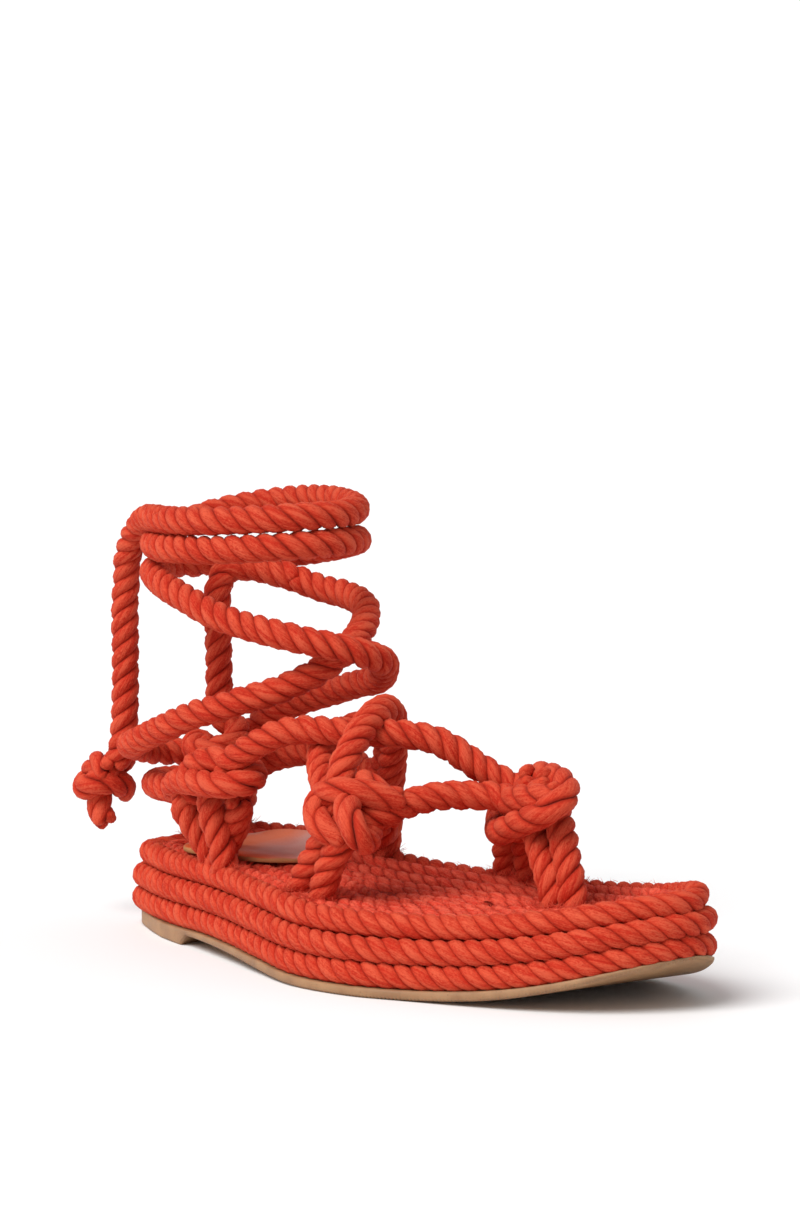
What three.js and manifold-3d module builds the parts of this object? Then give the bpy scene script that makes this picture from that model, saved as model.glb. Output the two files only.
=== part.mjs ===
// Rope sandal, right shoe: a thick sole of three coiled rope layers on a rubber outsole, and an upper
// that is rope only. Millimetres, +Z up, toe to +X, outer side of the foot to -Y.
// The origin is on the floor, under the middle of the shoe.
import * as THREE from "three";
import { mergeVertices } from "three/addons/utils/BufferGeometryUtils.js";
import Module from "manifold-3d";

const wasm = await Module();
wasm.setup();

// Driving sizes of the sole
const SOLE_LENGTH = 262;
const SOLE_WIDTH = 100.8;        // across the widest points of both sides
const OUTSOLE_THICKNESS = 3.4;
const HEEL_BLOCK = 3.7;          // extra rubber under the heel
const TOE_SPRING = 11.8;
const LAYER_THICKNESS = 7.7;     // one coil of sole rope
const LAYER_COUNT = 3;
const OUTSOLE_INSET = 1.1;       // outsole edge inside the rope edge
const FOOTBED_INSET = 2.5;       // top coil edge inside the two below it
const GAP = 0.3;                 // between pieces that lie on each other

// Driving sizes of the upper
const ROPE = 9.8;                // diameter of the rope
const KNOT_ROPE = 9.2;           // the rope drawn tight in a knot
const PAD_THICKNESS = 1.6;
const PAD_LENGTH = 62;
const PAD_WIDTH = 41;
const PAD_CENTRE = [-71, 5];

// The rope routes below are drawn on a last of this size and graded to the sole
const LAST_LENGTH = 262;
const LAST_WIDTH = 100.8;
const LAST_MIDDLE = 3;           // where the middle of the sole lies along the last

// Outline of the sole: station along the length from the heel, and each side as a share of half the width
const OUTLINE = [
  // station, outer, inner
  [0.0, -0.01, -0.01],
  [0.015, -0.173, 0.34],
  [0.06, -0.29, 0.685],
  [0.15, -0.455, 0.843],
  [0.25, -0.59, 0.754],
  [0.35, -0.727, 0.655],
  [0.45, -0.878, 0.68],
  [0.55, -1.0, 0.78],
  [0.65, -0.963, 0.911],
  [0.72, -0.823, 0.988],
  [0.8, -0.665, 1.0],
  [0.88, -0.486, 0.908],
  [0.94, -0.288, 0.744],
  [0.98, -0.02, 0.575],
  [1.0, 0.333, 0.333],
];

// Underside of the shoe, as stations along the length
const BREAST_BACK = 0.205;       // the heel block ends in a slanted breast
const BREAST_FRONT = 0.222;
const HEEL_SLOPE_START = 0.25;
const FLAT_START = 0.6;          // the forefoot lies flat on the floor between these two
const FLAT_END = 0.68;

const COLOURS = { rope: 0xd8452b, rubber: 0xb8895c, leather: 0xdcb4a6 };

function material(kind, roughness) {
  return new THREE.MeshStandardMaterial({ color: COLOURS[kind], roughness, metalness: 0 });
}

// Height of the sheet's underside above the floor at a station: heel block, waist, flat, toe spring
function lift(station) {
  const rise = THREE.MathUtils.clamp((FLAT_START - station) / (FLAT_START - HEEL_SLOPE_START), 0, 1);
  const spring = THREE.MathUtils.clamp((station - FLAT_END) / (1 - FLAT_END), 0, 1);
  return HEEL_BLOCK * rise * rise * (3 - 2 * rise) + TOE_SPRING * spring * spring;
}

function liftAt(x) {
  return lift(THREE.MathUtils.clamp(x / SOLE_LENGTH + 0.5, 0, 1));
}

// Underside of the outsole: the heel block fills the space down to the floor
function outsoleBottom(x) {
  const station = x / SOLE_LENGTH + 0.5;
  const breast = (station - BREAST_BACK) / (BREAST_FRONT - BREAST_BACK);
  return liftAt(x) * THREE.MathUtils.clamp(breast, 0, 1);
}

// The outline as a closed smooth curve: heel, outer side, toe, inner side
const outlinePoint = ([station, side]) =>
  new THREE.Vector3((station - 0.5) * SOLE_LENGTH, (side * SOLE_WIDTH) / 2, 0);
const outerSide = OUTLINE.map(([station, outer]) => outlinePoint([station, outer]));
const innerSide = OUTLINE.slice(1, -1).map(([station, , inner]) => outlinePoint([station, inner]));
const outlineCurve = new THREE.CatmullRomCurve3([...outerSide, ...innerSide.reverse()], true, "centripetal");

const SIDE_STEPS = 26;

// Points round the outline, moved in by an inset; outer side first, both sides with equal counts
function outlineRing(inset) {
  const count = outerSide.length + innerSide.length;
  const toe = (outerSide.length - 1) / count;
  const ring = [];
  for (let i = 0; i < 2 * SIDE_STEPS; i += 1) {
    const half = i / SIDE_STEPS;
    const t = half < 1 ? half * toe : toe + (half - 1) * (1 - toe);
    const point = outlineCurve.getPoint(t);
    const tangent = outlineCurve.getTangent(t);
    ring.push(new THREE.Vector2(point.x - tangent.y * inset, point.y + tangent.x * inset));
  }
  return ring;
}

// A slab in the outline: rows of [inset, height function], joined by side walls and closed by two caps
function slab(rows) {
  const positions = [];
  const index = [];
  const size = 2 * SIDE_STEPS;
  for (const [inset, height] of rows) {
    for (const point of outlineRing(inset)) {
      positions.push(point.x, point.y, height(point.x));
    }
  }
  for (let row = 0; row + 1 < rows.length; row += 1) {
    for (let i = 0; i < size; i += 1) {
      const a = row * size + i;
      const b = row * size + ((i + 1) % size);
      index.push(a, b, b + size, a, b + size, a + size);
    }
  }
  const last = (rows.length - 1) * size;
  for (let i = 0; i < SIDE_STEPS; i += 1) {
    const [near, nearNext] = [i, i + 1];
    const [far, farNext] = [(size - i) % size, size - i - 1];
    if (i > 0) {
      index.push(near, far, nearNext);
      index.push(last + near, last + nearNext, last + far);
    }
    if (i < SIDE_STEPS - 1) {
      index.push(far, farNext, nearNext);
      index.push(last + far, last + nearNext, last + farNext);
    }
  }
  const geometry = new THREE.BufferGeometry();
  geometry.setAttribute("position", new THREE.Float32BufferAttribute(positions, 3));
  geometry.setIndex(index);
  return geometry;
}

function outsole() {
  const top = (x) => liftAt(x) + OUTSOLE_THICKNESS - GAP / 2;
  return slab([
    [OUTSOLE_INSET + 0.8, outsoleBottom],
    [OUTSOLE_INSET, (x) => outsoleBottom(x) + 0.8],
    [OUTSOLE_INSET, top],
  ]);
}

const layerFloor = (number) => OUTSOLE_THICKNESS + number * LAYER_THICKNESS;
const FOOTBED = layerFloor(LAYER_COUNT);
const EDGE_ANGLES = [-78, -40, 0, 40, 78];

// One coil of sole rope: a flat layer whose edge is round like the rope
function ropeLayer(number) {
  const radius = (LAYER_THICKNESS - GAP) / 2;
  const middle = layerFloor(number) + LAYER_THICKNESS / 2;
  const edge = number === LAYER_COUNT - 1 ? FOOTBED_INSET : 0;
  const rounding = Math.sin(THREE.MathUtils.degToRad(EDGE_ANGLES.at(-1)));
  return slab(EDGE_ANGLES.map((degrees) => {
    const angle = THREE.MathUtils.degToRad(degrees);
    const height = (radius * Math.sin(angle)) / rounding;
    return [edge + radius * (1 - Math.cos(angle)), (x) => liftAt(x) + middle + height];
  }));
}

// The heel pad: an oval with a straight middle, laid on the footbed
function heelPad() {
  const [centreX, centreY] = PAD_CENTRE;
  const grow = SOLE_LENGTH / LAST_LENGTH;
  const radius = PAD_WIDTH / 2;
  const straight = PAD_LENGTH / 2 - radius;
  const outline = new THREE.Shape();
  outline.moveTo(-straight, -radius);
  outline.lineTo(straight, -radius);
  outline.absarc(straight, 0, radius, -Math.PI / 2, Math.PI / 2, false);
  outline.lineTo(-straight, radius);
  outline.absarc(-straight, 0, radius, Math.PI / 2, (3 * Math.PI) / 2, false);
  const geometry = new THREE.ExtrudeGeometry(outline, {
    depth: PAD_THICKNESS,
    bevelEnabled: false,
    curveSegments: 10,
  });
  geometry.translate(centreX * grow, centreY, 0);
  const position = geometry.attributes.position;
  for (let i = 0; i < position.count; i += 1) {
    position.setZ(i, position.getZ(i) + FOOTBED + GAP + liftAt(position.getX(i)));
  }
  return geometry;
}

// Rope routes. x, y on the last; z above the footbed of the forefoot
const TOE_LEGS = [
  [[80, 2, -2.5], [78, 3, 6], [74, 5, 13], [66, 9, 20], [59, 13, 28]],
  [[88, 6, -2], [86, 7, 8], [82, 9, 16], [75, 12, 24], [67, 15, 31]],
  [[25, 34, -4], [25, 33, 5], [27, 31, 13], [34, 26, 21], [44, 20, 29]],
  [[37, 33, -4], [37, 32, 6], [40, 28, 15], [46, 23, 23], [54, 18, 31]],
];
const TOE_KNOT = [
  [[44, 24, 36], [57, 20, 39], [74, 13, 39], [83, 7, 36], [83, 2, 33], [75, 2, 29], [62, 5, 25],
    [48, 11, 21], [37, 19, 21], [31, 26, 25], [36, 29, 29], [44, 26, 31]],
  [[52, 15, 27], [59, 15, 34], [65, 14, 39], [68, 14, 42]],
];
const INSTEP_LEGS = [
  [[-3, -31, -3], [-1, -31, 3], [4, -31, 10], [9, -30, 18], [11, -28, 26]],
  [[11, -33, -3], [13, -33, 4], [16, -33, 11], [20, -32, 18], [20, -29, 26]],
  [[-38, 26, -1], [-37, 26, 8], [-34, 25, 16], [-28, 23, 24]],
  [[-28, 25, -1], [-27, 25, 8], [-25, 24, 16], [-22, 22, 24]],
];
const OUTER_INSTEP_KNOT = [
  [[8, -22, 32], [17, -27, 33], [26, -34, 31], [33, -37, 26], [33, -34, 21], [27, -27, 20],
    [19, -20, 21], [12, -16, 25]],
  [[18, -24, 31], [14, -28, 33], [11, -31, 31], [12, -34, 27], [18, -35, 23], [22, -32, 20]],
];
const INNER_INSTEP_KNOT = [
  [[-16, 15, 28], [-27, 23, 27], [-34, 29, 20], [-31, 27, 14], [-20, 18, 13], [-13, 13, 18]],
];
const INSTEP_ARCH = [
  [[14, -28, 27], [14, -28, 33], [13, -26, 40], [12, -21, 47], [9, -14, 52.5], [6, -7, 56],
    [2, 1, 57], [-2, 7, 54], [-7, 12, 46], [-13, 16, 37], [-19, 20, 29], [-24, 22, 24]],
  [[6, -25, 29], [-1, -22, 34], [-9, -17, 39], [-15, -11, 44], [-17, -3, 48], [-15, 5, 50],
    [-15, 12, 48.5], [-18, 18, 43], [-24, 22, 36], [-30, 24, 30], [-32, 23, 23]],
];
const HEEL_LEGS = [
  [[-63, -22, -0.5], [-65, -22, 8], [-66, -23, 17], [-61, -24, 26]],
  [[-46, -25, -0.5], [-48, -26, 10], [-52, -26, 19], [-55, -25, 27]],
  [[-116, 15, -0.5], [-119, 13, 8], [-118, 15, 15], [-113, 18, 22]],
  [[-112, 28, -0.5], [-112, 28, 8], [-112, 27, 15], [-111, 26, 22]],
];
const OUTER_HEEL_KNOT = [
  [[-48, -16, 34], [-36, -21, 33], [-30, -28, 31], [-36, -33, 30], [-50, -34, 30], [-67, -30, 29],
    [-80, -23, 25], [-83, -15, 21], [-73, -11, 21], [-58, -12, 26]],
  [[-43, -28, 38], [-51, -30, 38], [-61, -29, 35], [-69, -25, 30]],
];
const INNER_HEEL_KNOT = [
  [[-106, 15, 27], [-113, 21, 30], [-118, 28, 27], [-115, 31, 20], [-108, 28, 16], [-103, 20, 18],
    [-104, 16, 23]],
];
const BACK_STRAP = [
  [[-107, 25, 21], [-112, 18, 22], [-114, 8, 23], [-112, -4, 23.5], [-103, -14, 24],
    [-91, -20, 24.5], [-78, -23, 25], [-64, -25, 26]],
];
const SIDE_ROPE_OUTER = [
  [[56, 13, 30], [46, 11, 32], [39, 6, 32], [34, -2, 32], [29, -11, 30], [26, -19, 27],
    [21, -27, 25]],
];
const SIDE_ROPE_OVER = [
  [[52, 21, 31], [44, 20, 34], [36, 16, 38], [30, 11, 43], [24, 5, 48], [15, -2, 50], [5, -7, 50],
    [-5, -13, 50], [-15, -18, 50], [-23, -23, 48.5], [-30, -26, 45], [-37, -28, 41],
    [-46, -28, 36]],
];
const SIDE_ROPE_INNER = [
  [[-24, 21, 23], [-34, 26, 28], [-48, 29, 32.3], [-64, 31, 33.8], [-80, 32, 33.5], [-94, 31, 30.5],
    [-107, 27, 25]],
];
const ANKLE_ROPES = [
  [[-108, 28, 25], [-115, 22, 29], [-121, 13, 31], [-124, 3, 32], [-121, -7, 34], [-115, -15, 36],
    [-107, -21, 37.5], [-98, -25, 39.5], [-87, -28, 43], [-74, -30, 47], [-61, -29, 52],
    [-50, -26, 55], [-42, -22, 58], [-35, -17, 60.5], [-29, -11, 64], [-24, -4, 68.5],
    [-22, 2, 73], [-25, 11, 78], [-31, 19, 82], [-38, 25, 85.5], [-47, 29, 87.5], [-57, 30.5, 89],
    [-68, 29, 90.5], [-76, 26, 93]],
  [[-109, 25, 26], [-109, 27, 33], [-101, 28, 41], [-91, 29, 47], [-80, 31, 51], [-66, 33, 55],
    [-51, 32, 59], [-35, 28, 62], [-23, 21, 67], [-14, 12, 71], [-12, 2, 74], [-14, -5, 76],
    [-20, -13, 78], [-28, -19, 80], [-39, -23, 82], [-53, -26, 85], [-66, -27, 89], [-78, -26, 92],
    [-90, -22, 94.5], [-102, -15, 96], [-110, -7, 96.5], [-114, 2, 97], [-112, 12, 97],
    [-104, 22, 98], [-91, 30, 100], [-73, 33, 103], [-54, 30, 105.5], [-40, 23, 107.5],
    [-31, 11, 108], [-29, -1, 107.5], [-34, -11, 107], [-45, -19, 106], [-59, -24, 105],
    [-74, -25, 105], [-89, -22, 105], [-103, -14, 105.5], [-112, -4, 106.5], [-114, 4, 108.5],
    [-112, 13, 111.5], [-105, 22, 114], [-93, 30, 116], [-77, 33, 118], [-60, 31, 118.5],
    [-44, 25, 118.5], [-33, 15, 118.5], [-29, 3, 118], [-33, -9, 117.5], [-45, -18, 116.5],
    [-59, -24, 115.5], [-74, -25, 115], [-86, -22, 114.5]],
];

// Free ends of the two ankle ropes, hanging down, each with a stopper knot and a short tail
const LONG_END = [
  [[-86, -22, 114.5], [-97, -18, 114.2], [-107, -14, 113.5], [-116, -10, 111], [-123, -8, 106],
    [-128, -7, 99], [-130, -6, 91], [-131, -6, 82], [-131, -6, 72], [-131, -6, 62], [-131, -6, 52],
    [-131.5, -6, 43], [-133, -6, 34], [-136, -6, 28]],
];
const LONG_END_KNOT = [
  [[-137, -6, 27], [-143, -1, 24], [-152, -2, 20], [-154, -9, 16], [-147, -14, 15], [-138, -12, 18],
    [-136, -5, 17], [-142, 0, 12]],
  [[-144, -7, 22], [-148, -8, 14], [-146, -9, 7], [-143, -9, 3]],
];
const SHORT_END = [
  [[-76, 26, 93], [-83.5, 22, 95], [-91, 17, 96.5], [-95.7, 11.5, 95.5], [-97.7, 9, 90], [-98, 9, 80],
    [-97.7, 9, 68], [-97.5, 9, 56], [-97.5, 9, 46]],
];
const SHORT_END_KNOT = [
  [[-97.5, 9, 45], [-92, 12, 42], [-87, 7, 38], [-90, 0, 35], [-98, -1, 35], [-103, 4, 37],
    [-98, 8, 33]],
  [[-95, 5, 38], [-95, 4, 31], [-94, 3, 25], [-94, 3, 20]],
];

// Knots keep their form when the sole is graded: what lies near one moves with its middle, except for
// the feet of the legs, which move with the footbed
const KNOTS = [[57, 15, 30], [18, -29, 27], [-24, 22, 22], [-57, -23, 29], [-111, 23, 23]];
const HANGING_KNOTS = [[-144, -6, 18], [-96, 4, 36]];
const KNOT_REACH = 30;
const KNOT_FADE = 55;
const FOOT_HEIGHT = 10;

// The place whose grading a point follows: its own, or that of the knots near it
function gradedWith([x, y, z]) {
  const point = new THREE.Vector3(x, y, z);
  const pulls = [...KNOTS, ...HANGING_KNOTS].map((middle, number) => {
    const knot = new THREE.Vector3(...middle);
    const near = 1 - THREE.MathUtils.smoothstep(point.distanceTo(knot), KNOT_REACH, KNOT_FADE);
    const height = number < KNOTS.length ? THREE.MathUtils.clamp(z / FOOT_HEIGHT, 0, 1) : 1;
    return [knot, near * height];
  });
  const total = Math.max(1, pulls.reduce((sum, [, pull]) => sum + pull, 0));
  return pulls.reduce(
    (place, [knot, pull]) => place.addScaledVector(knot.sub(point), pull / total),
    point.clone(),
  );
}

// A route on the last, graded to the sole's length and width and set on the footbed
function graded(route) {
  return route.map((point) => {
    const [x, y, z] = point;
    const place = gradedWith(point);
    return new THREE.Vector3(
      x - LAST_MIDDLE + (place.x - LAST_MIDDLE) * (SOLE_LENGTH / LAST_LENGTH - 1),
      y + place.y * (SOLE_WIDTH / LAST_WIDTH - 1),
      z + FOOTBED,
    );
  });
}

const ROPE_SIDES = 8;

// A rope as a tube along its route, with steps of so many diameters; grow widens and lengthens it
function rope(route, diameter, stepDiameters, grow = 0) {
  const points = graded(route);
  const path = new THREE.CatmullRomCurve3(points, false, "centripetal");
  const steps = Math.max(3, Math.round(path.getLength() / (stepDiameters * diameter)));
  points[0].addScaledVector(path.getTangent(0), -grow);
  points.at(-1).addScaledVector(path.getTangent(1), grow);
  path.updateArcLengths();
  const section = new THREE.Shape();
  const radius = diameter / 2 + grow;
  for (let side = 0; side < ROPE_SIDES; side += 1) {
    const angle = (2 * Math.PI * side) / ROPE_SIDES;
    section[side ? "lineTo" : "moveTo"](radius * Math.cos(angle), radius * Math.sin(angle));
  }
  section.closePath();
  return new THREE.ExtrudeGeometry(section, { steps, bevelEnabled: false, extrudePath: path });
}

function solid(geometry) {
  const bare = geometry.clone();
  bare.deleteAttribute("normal");
  bare.deleteAttribute("uv");
  const merged = mergeVertices(bare, 1e-4);
  return new wasm.Manifold(new wasm.Mesh({
    numProp: 3,
    vertProperties: new Float32Array(merged.attributes.position.array),
    triVerts: new Uint32Array(merged.index.array),
  }));
}

// Ropes joined into one solid; grow widens them, to cut room for them in a neighbour
const UPPER_STEP = 0.85;
function ropes(routes, diameter, grow = 0) {
  return routes
    .map((route) => solid(rope(route, diameter, UPPER_STEP, grow)))
    .reduce((sum, next) => sum.add(next));
}

// Each group of ropes that makes one piece, with the diameters of its plain and knotted stretches
const LOOPS = {
  toe_loop: [[TOE_LEGS, ROPE], [TOE_KNOT, KNOT_ROPE]],
  instep_arch: [[INSTEP_LEGS, ROPE], [INSTEP_ARCH, ROPE], [OUTER_INSTEP_KNOT, KNOT_ROPE],
    [INNER_INSTEP_KNOT, KNOT_ROPE]],
  heel_loop: [[HEEL_LEGS, ROPE], [BACK_STRAP, ROPE], [OUTER_HEEL_KNOT, KNOT_ROPE],
    [INNER_HEEL_KNOT, KNOT_ROPE]],
  side_rope_outer: [[SIDE_ROPE_OUTER, ROPE]],
  side_rope_over: [[SIDE_ROPE_OVER, ROPE]],
  side_rope_inner: [[SIDE_ROPE_INNER, ROPE]],
  ankle_wraps: [[ANKLE_ROPES, ROPE]],
};

function joined(name, grow = 0) {
  return LOOPS[name]
    .map(([routes, diameter]) => ropes(routes, diameter, grow))
    .reduce((sum, next) => sum.add(next));
}

// The piece without the room of its neighbours; crumbs that a cut leaves are not part of it
function clearOf(piece, neighbours) {
  const cut = neighbours.reduce((rest, neighbour) => rest.subtract(neighbour), piece);
  return cut.decompose().sort((a, b) => b.volume() - a.volume())[0];
}

function toGeometry(manifold) {
  const mesh = manifold.getMesh();
  const geometry = new THREE.BufferGeometry();
  geometry.setAttribute("position", new THREE.Float32BufferAttribute(mesh.vertProperties, 3));
  geometry.setIndex([...mesh.triVerts]);
  return geometry;
}

const shoe = new THREE.Group();

function addPiece(name, geometry, look) {
  geometry.computeVertexNormals();
  const mesh = new THREE.Mesh(geometry, look);
  mesh.name = name;
  shoe.add(mesh);
}

const ropeLook = material("rope", 0.9);

// Sole
addPiece("outsole", outsole(), material("rubber", 0.6));
addPiece("rope_layer_bottom", ropeLayer(0), ropeLook);
addPiece("rope_layer_middle", ropeLayer(1), ropeLook);
const legRoom = ropes([...TOE_LEGS, ...INSTEP_LEGS, ...HEEL_LEGS], ROPE, GAP);
addPiece("rope_layer_top", toGeometry(clearOf(solid(ropeLayer(2)), [legRoom])), ropeLook);

// Upper: the loops with their knots are whole, and what runs into them is cut clear of them
const toeRoom = joined("toe_loop", GAP);
const instepRoom = joined("instep_arch", GAP);
const heelRoom = joined("heel_loop", GAP);
addPiece("toe_loop", toGeometry(joined("toe_loop")), ropeLook);
addPiece("instep_arch", toGeometry(joined("instep_arch")), ropeLook);
addPiece("heel_loop", toGeometry(joined("heel_loop")), ropeLook);
addPiece("heel_pad", toGeometry(clearOf(solid(heelPad()), [heelRoom, instepRoom])), material("leather", 0.5));
addPiece("side_rope_outer", toGeometry(clearOf(joined("side_rope_outer"), [toeRoom, instepRoom])), ropeLook);
const overNeighbours = [toeRoom, instepRoom, heelRoom, joined("side_rope_outer", GAP)];
addPiece("side_rope_over", toGeometry(clearOf(joined("side_rope_over"), overNeighbours)), ropeLook);
addPiece("side_rope_inner", toGeometry(clearOf(joined("side_rope_inner"), [instepRoom, heelRoom])), ropeLook);
const sideRoom = [joined("side_rope_over", GAP), joined("side_rope_inner", GAP)];
addPiece("ankle_wraps", toGeometry(clearOf(joined("ankle_wraps"), [heelRoom, instepRoom, ...sideRoom])), ropeLook);

// Free ends, each with its knot
const ankleRoom = joined("ankle_wraps", GAP).add(joined("ankle_wraps"));
const FREE_ENDS = [
  ["hanging_end_long", LONG_END, LONG_END_KNOT],
  ["hanging_end_short", SHORT_END, SHORT_END_KNOT],
];
const END_STEP = 2;
for (const [name, route, knot] of FREE_ENDS) {
  const cord = solid(rope(route[0], ROPE, END_STEP));
  addPiece(name, toGeometry(clearOf(cord, [ankleRoom, ropes(knot, KNOT_ROPE, GAP)])), ropeLook);
  addPiece(`${name}_knot`, toGeometry(ropes(knot, KNOT_ROPE)), ropeLook);
}

export default shoe;
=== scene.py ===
# %% [markdown]
# This script dresses a packed rope sandal in its looks. The real shoe is almost all rope: three strands
# twisted together, coiled flat for the sole and knotted for the upper. So most of the lesson is about one
# thing, how to lay strands along a path, and the rest is a rubber sheet, a leather pad, light and camera.

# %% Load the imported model
import math

import bpy
import numpy as np
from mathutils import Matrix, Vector


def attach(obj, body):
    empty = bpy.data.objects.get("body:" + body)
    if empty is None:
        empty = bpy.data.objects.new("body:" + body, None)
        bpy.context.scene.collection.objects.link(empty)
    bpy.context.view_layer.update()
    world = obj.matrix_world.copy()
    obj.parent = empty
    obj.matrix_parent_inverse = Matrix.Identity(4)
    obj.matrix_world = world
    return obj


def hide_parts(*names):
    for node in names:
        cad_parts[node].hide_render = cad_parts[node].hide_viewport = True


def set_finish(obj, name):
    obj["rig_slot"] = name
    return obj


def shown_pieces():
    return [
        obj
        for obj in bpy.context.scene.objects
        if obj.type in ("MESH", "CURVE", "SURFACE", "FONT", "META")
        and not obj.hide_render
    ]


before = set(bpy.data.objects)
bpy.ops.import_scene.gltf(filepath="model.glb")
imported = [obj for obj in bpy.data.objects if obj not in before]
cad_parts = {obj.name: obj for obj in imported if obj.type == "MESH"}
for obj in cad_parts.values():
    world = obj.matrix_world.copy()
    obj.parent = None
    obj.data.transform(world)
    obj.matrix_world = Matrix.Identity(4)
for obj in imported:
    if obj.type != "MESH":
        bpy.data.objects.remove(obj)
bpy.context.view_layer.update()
MM = 0.001
print("pieces in the frame:", len(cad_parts))

# %% [markdown]
# The camera looks at the outer side of the shoe from slightly above the floor, with a long lens, as a
# catalogue picture does. A long lens keeps the thick sole from bulging towards the viewer. The place and
# the lens were fitted to the picture's own proportions, so they are given as numbers and not by eye.

# %% Camera
CAMERA_AZIMUTH = math.radians(50.7)
CAMERA_ELEVATION = math.radians(4.8)
CAMERA_DISTANCE = 1547 * MM
CAMERA_TARGET = Vector((0.7, 5.5, 117.1)) * MM
PICTURE_HEIGHT = 1209            # pixels
FOCAL_LENGTH = 4800              # pixels of that picture
SENSOR_HEIGHT = 24.0

towards_camera = Vector((
    math.sin(CAMERA_AZIMUTH) * math.cos(CAMERA_ELEVATION),
    -math.cos(CAMERA_AZIMUTH) * math.cos(CAMERA_ELEVATION),
    math.sin(CAMERA_ELEVATION),
))
camera = bpy.data.objects.new("camera", bpy.data.cameras.new("camera"))
bpy.context.scene.collection.objects.link(camera)
camera.location = CAMERA_TARGET + towards_camera * CAMERA_DISTANCE
camera.rotation_euler = (math.pi / 2 - CAMERA_ELEVATION, 0, CAMERA_AZIMUTH)
camera.data.sensor_fit = "VERTICAL"
camera.data.sensor_height = SENSOR_HEIGHT
camera.data.lens = FOCAL_LENGTH * SENSOR_HEIGHT / PICTURE_HEIGHT
bpy.context.scene.camera = camera
print("camera stands at", [round(v, 3) for v in camera.location])

# %% [markdown]
# Every rope follows a route: a short list of points, drawn on the shoemaker's last, with x from heel to
# toe, y to the inner side of the foot and z above the footbed. Straight lines between the points would show
# their corners, and a plain spline may loop between two close points. The centripetal Catmull-Rom curve
# goes through every point and never loops, so it is used for the ropes and for the outline of the sole.

# %% Sizes in millimetres
SOLE_LENGTH = 262.0
SOLE_WIDTH = 100.8
OUTSOLE_THICKNESS = 3.4
LAYER = 7.7                      # thickness of one coil of sole rope
LAYER_COUNT = 3
FOOTBED = OUTSOLE_THICKNESS + LAYER_COUNT * LAYER
LAST_MIDDLE = 3.0                # the last's origin lies this far behind the middle of the sole
ROPE = 9.8
KNOT_ROPE = 9.2                  # the same rope where a knot pulls it tight
RING_STEP = 1.3                  # between two rings of a strand
print(f"the footbed lies {FOOTBED:.1f} mm above the underside of the forefoot")


# %% A smooth curve through points
def smooth_curve(points, closed=False, fine=24):
    """The centripetal curve through the points, as many close points."""
    points = np.array(points, float)
    if closed:
        points = np.vstack([points[-1], points, points[:2]])
    else:
        points = np.vstack([2 * points[0] - points[1], points, 2 * points[-1] - points[-2]])
    pieces = []
    t = np.linspace(0, 1, fine, endpoint=False)[:, None]
    for p0, p1, p2, p3 in zip(points, points[1:], points[2:], points[3:]):
        d0, d1, d2 = (max(np.linalg.norm(b - a) ** 0.5, 1e-4) for a, b in ((p0, p1), (p1, p2), (p2, p3)))
        start = d1 * ((p1 - p0) / d0 - (p2 - p0) / (d0 + d1) + (p2 - p1) / d1)
        end = d1 * ((p2 - p1) / d1 - (p3 - p1) / (d1 + d2) + (p3 - p2) / d2)
        curve = p1 + start * t + (-3 * p1 + 3 * p2 - 2 * start - end) * t**2
        pieces.append(curve + (2 * p1 - 2 * p2 + start + end) * t**3)
    if not closed:
        pieces.append(points[-2][None])
    return np.vstack(pieces)


bend = smooth_curve([(0, 0, 0), (10, 0, 0), (10, 10, 0)])
print("a curve through a corner has", len(bend), "points and passes", bend[24].round(1).tolist())


# %% The same line in even steps
def evenly(line, step=RING_STEP, closed=False):
    """The same line in equal steps, how far along it each point lies, and its whole length."""
    if closed:
        line = np.vstack([line, line[:1]])
    run = np.concatenate([[0], np.cumsum(np.linalg.norm(np.diff(line, axis=0), axis=1))])
    count = max(4, round(run[-1] / step))
    at = np.linspace(0, run[-1], count + 1)
    if closed:
        at = at[:-1]
    return np.column_stack([np.interp(at, run, line[:, k]) for k in range(3)]), at, run[-1]


def on_last(route):
    """A route's points in the row frame, in millimetres."""
    return [(x - LAST_MIDDLE, y, z + FOOTBED) for x, y, z in route]


print(f"the curve through the corner is {evenly(bend)[2]:.1f} mm long")


# %% [markdown]
# A twisted rope can be faked with a bump on a tube, but its outline would stay smooth. Real strands make
# the bumpy outline that says rope at first sight, so each strand is a tube of its own that winds round the
# route. A frame of two directions is carried along the curve without turning about it, and the strands
# turn in that frame: to the right, as in all the ropes of this shoe.

# %% Frames along a line
def along_line(line, closed):
    """The unit direction of a line at each of its points."""
    way = np.roll(line, -1, 0) - np.roll(line, 1, 0) if closed else np.gradient(line, axis=0)
    return way / np.linalg.norm(way, axis=1)[:, None]


def carried_frames(line, closed=False):
    """Two side directions at each point, carried along without twist."""
    tangent = along_line(line, closed)
    if closed:
        side = np.cross([0, 0, 1.0], tangent)
        side /= np.linalg.norm(side, axis=1)[:, None]
        return side, np.cross(tangent, side)
    start = np.cross(tangent[0], [0, 0, 1.0])
    if np.linalg.norm(start) < 0.1:
        start = np.cross(tangent[0], [0, 1.0, 0])
    side = [start / np.linalg.norm(start)]
    for now in tangent[1:]:
        carried = side[-1] - now * (side[-1] @ now)
        side.append(carried / np.linalg.norm(carried))
    side = np.array(side)
    return side, np.cross(tangent, side)


print("side direction before and after the corner:", carried_frames(bend)[0][[0, -1]].round(2).tolist())
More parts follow.
